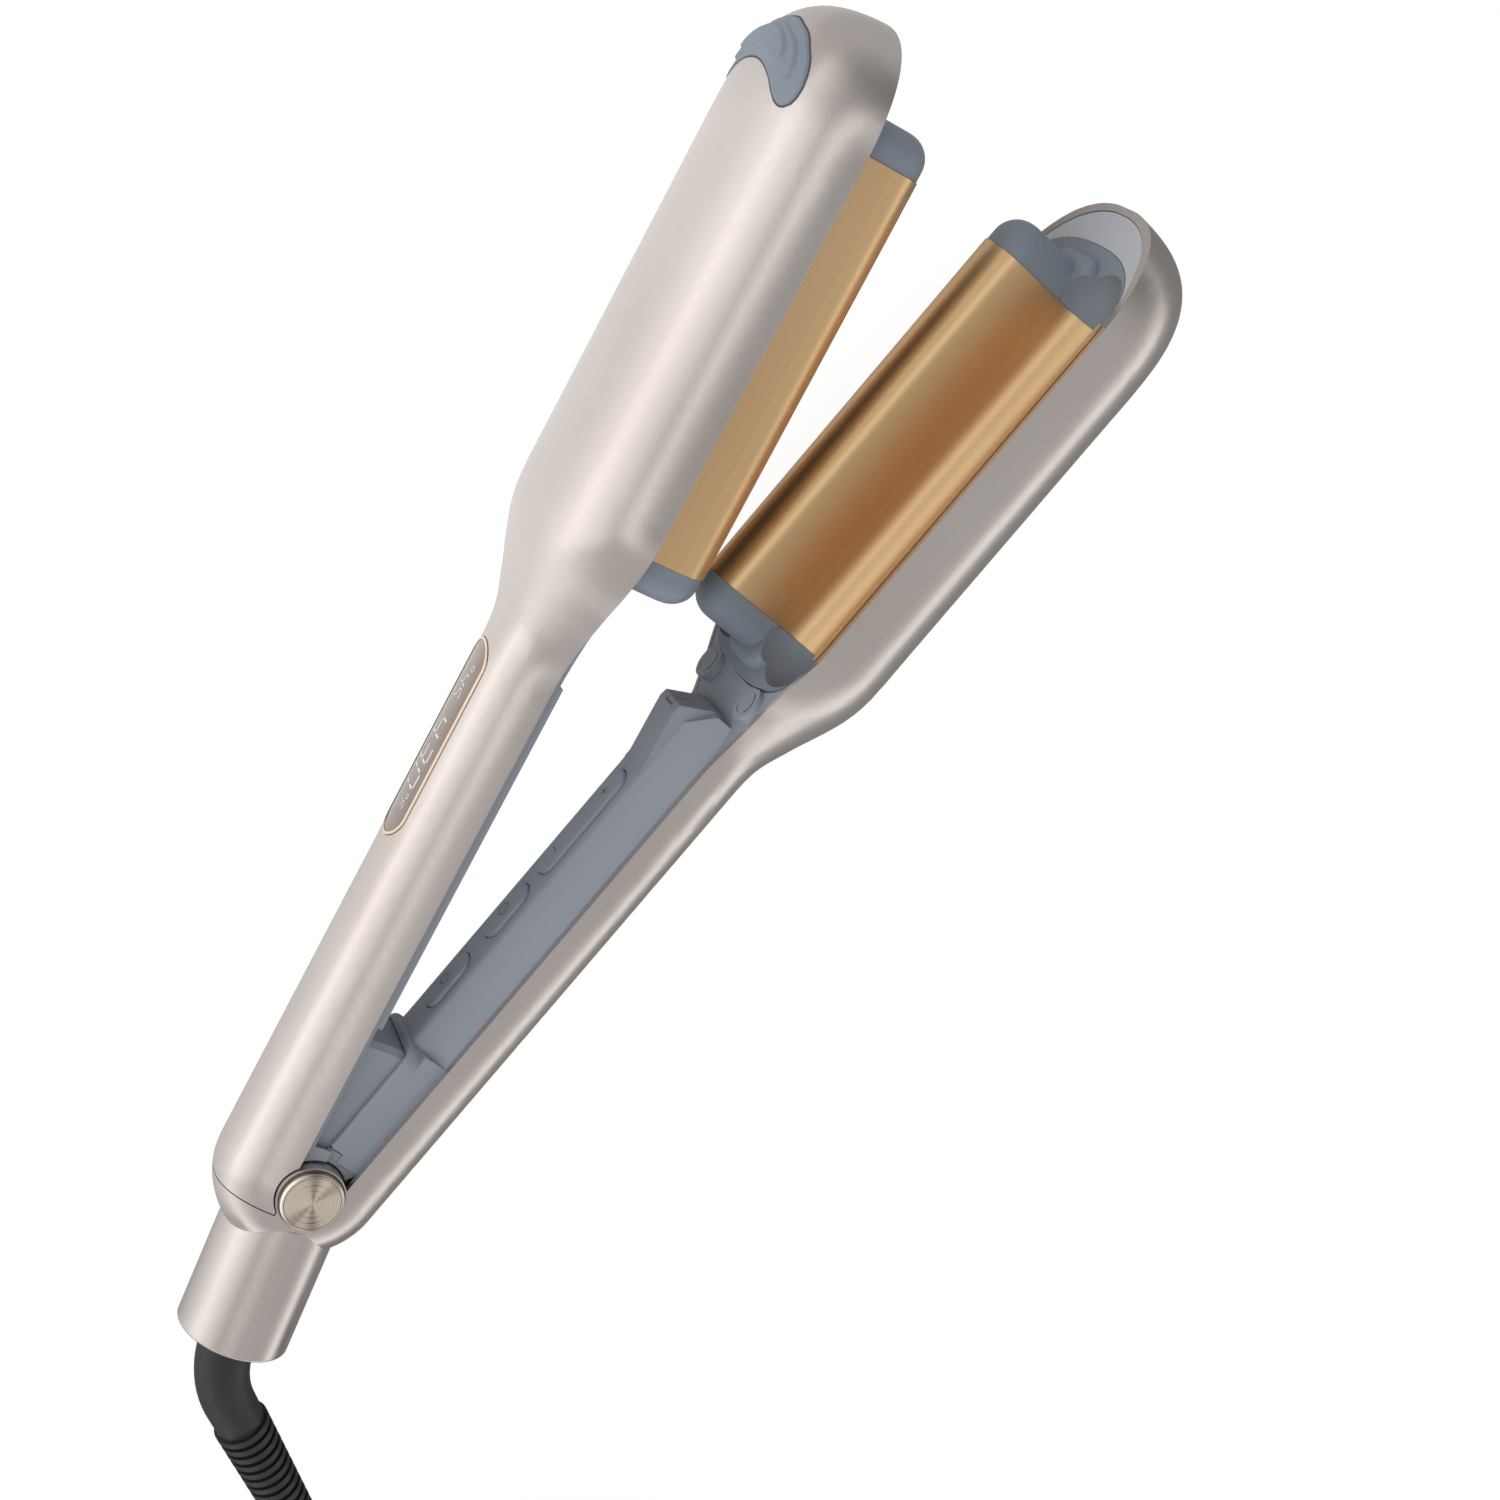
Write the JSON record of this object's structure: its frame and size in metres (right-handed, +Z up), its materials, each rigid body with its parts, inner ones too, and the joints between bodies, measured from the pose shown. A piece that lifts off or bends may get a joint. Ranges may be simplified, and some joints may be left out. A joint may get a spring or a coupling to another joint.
{
  "type": "hair waver",
  "caption": "Deep hair waver: two sprung hinged arms with meshing gold wave jaws, keys, a display window and a swivelling mains cord, lying open on its side.",
  "frame": {"origin": "centre of the bounding box of the tool without its free cord, at the surface it lies on", "axes": "+X towards the tips of the arms, +Y from the lower arm (with the keys) to the upper arm (with the display), +Z up along the hinge pin, towards the side that faces up when the tool lies on its side"},
  "size_m": [0.4413, 0.3101, 0.0604],
  "materials": {
    "casing": "champagne metallic lacquer, satin",
    "liner": "grey-blue, matte",
    "caps": "grey-blue heat-proof plastic, matte",
    "thumb": "grey-blue, matte",
    "face": "light grey, matte",
    "heated": "gold coated, polished",
    "insulator": "dark grey heat-proof plastic",
    "ceramic": "white ceramic heater body",
    "steel": "sheet and wire steel",
    "turned": "face turned in fine circles, champagne",
    "board": "green circuit board",
    "window": "smoked taupe, clear lacquer",
    "bezel": "rose gold edge",
    "black": "black soft plastic",
    "pins": "bare brass"
  },
  "bodies": {
    "lower_arm": {"lower_casing": "casing", "lower_liner": "liner", "lower_face_plate": "face", "lower_front_cap": "caps", "lower_rear_cap": "caps", "lower_heated_plate": "heated", "lower_heater": "ceramic", "lower_heater_bracket": "steel", "lower_thumb_rest": "thumb", "control_board": "board", "lower_screws": "steel", "screw_plugs": "liner", "hinge_pin": "steel", "hinge_cap_near": "turned", "hinge_cap_far": "turned", "torsion_spring": "steel", "cord_collar": "casing", "slip_ring": "insulator"},
    "power_key": {"power_key": "liner"},
    "timer_key": {"timer_key": "liner"},
    "temperature_rocker": {"temperature_rocker": "liner"},
    "upper_arm": {"upper_casing": "casing", "upper_liner": "liner", "upper_face_plate": "face", "valley_insulator": "insulator", "valley_screws": "steel", "upper_heated_plate_near": "heated", "upper_heated_plate_far": "heated", "upper_heater_near": "ceramic", "upper_heater_far": "ceramic", "upper_front_cap_near": "caps", "upper_front_cap_far": "caps", "upper_rear_cap_near": "caps", "upper_rear_cap_far": "caps", "upper_heater_bracket": "steel", "hinge_bracket": "steel", "upper_thumb_rest": "thumb", "display_window": "window", "display_bezel": "bezel", "display_board": "board"},
    "cord_end": {"swivel_stem": "black", "bend_sleeve": "black", "cord": "black", "cord_coil": "black", "cord_tail": "black", "cord_tie": "black", "plug_body": "black", "plug_pins": "pins"}
  },
  "joints": [
    {"name": "arm_hinge", "type": "hinge", "parent": "lower_arm", "child": "upper_arm", "pos_m": [-0.12347, -0.03119, 0.0302], "axis": [0, 0, 1], "range_deg": [-13, 0], "stiffness_Nm_per_rad": 1, "springref_deg": 20.05},
    {"name": "cord_swivel", "type": "hinge", "parent": "lower_arm", "child": "cord_end", "pos_m": [-0.16153, -0.04349, 0.0302], "axis": [-0.9516, -0.3074, 0], "continuous": true},
    {"name": "power_press", "type": "slide", "parent": "lower_arm", "child": "power_key", "axis": [0, -1, 0], "range_m": [0, 0.0006], "stiffness_N_per_m": 600},
    {"name": "timer_press", "type": "slide", "parent": "lower_arm", "child": "timer_key", "axis": [0, -1, 0], "range_m": [0, 0.0006], "stiffness_N_per_m": 600},
    {"name": "temperature_rock", "type": "hinge", "parent": "lower_arm", "child": "temperature_rocker", "pos_m": [-0.01707, -0.03069, 0.0302], "axis": [0, 0, 1], "range_deg": [-2.2, 2.2], "stiffness_Nm_per_rad": 0.3}
  ]
}
